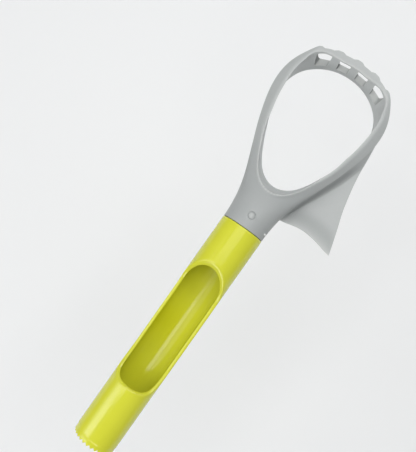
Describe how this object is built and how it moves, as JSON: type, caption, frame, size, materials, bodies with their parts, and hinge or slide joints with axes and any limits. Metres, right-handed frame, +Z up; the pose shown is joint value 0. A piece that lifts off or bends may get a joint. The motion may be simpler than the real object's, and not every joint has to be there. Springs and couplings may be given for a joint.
{
  "type": "avocado slicer",
  "caption": "Hand tool for avocados: an open slicing loop with slitted far end and a side knife fin, plugged into a tubular coring handle with a long window and toothed end.",
  "frame": {"origin": "on the resting plane, under the middle of the whole tool's box", "axes": "+Y from the coring handle to the slicing head along the handle's axis, +X to the knife fin's side, +Z up out of the front, with the tool lying on its back"},
  "size_m": [0.0716, 0.2256, 0.0225],
  "materials": {
    "head_plastic": "satin moulded, mid grey",
    "handle_plastic": "glossy moulded, yellow-green"
  },
  "bodies": {
    "head": {"slicer_head": "head_plastic"},
    "handle": {"corer_handle": "handle_plastic"}
  },
  "joints": [
    {"name": "handle_pull", "type": "slide", "parent": "head", "child": "handle", "axis": [0, -1, 0], "range_m": [0, 0.02]}
  ]
}
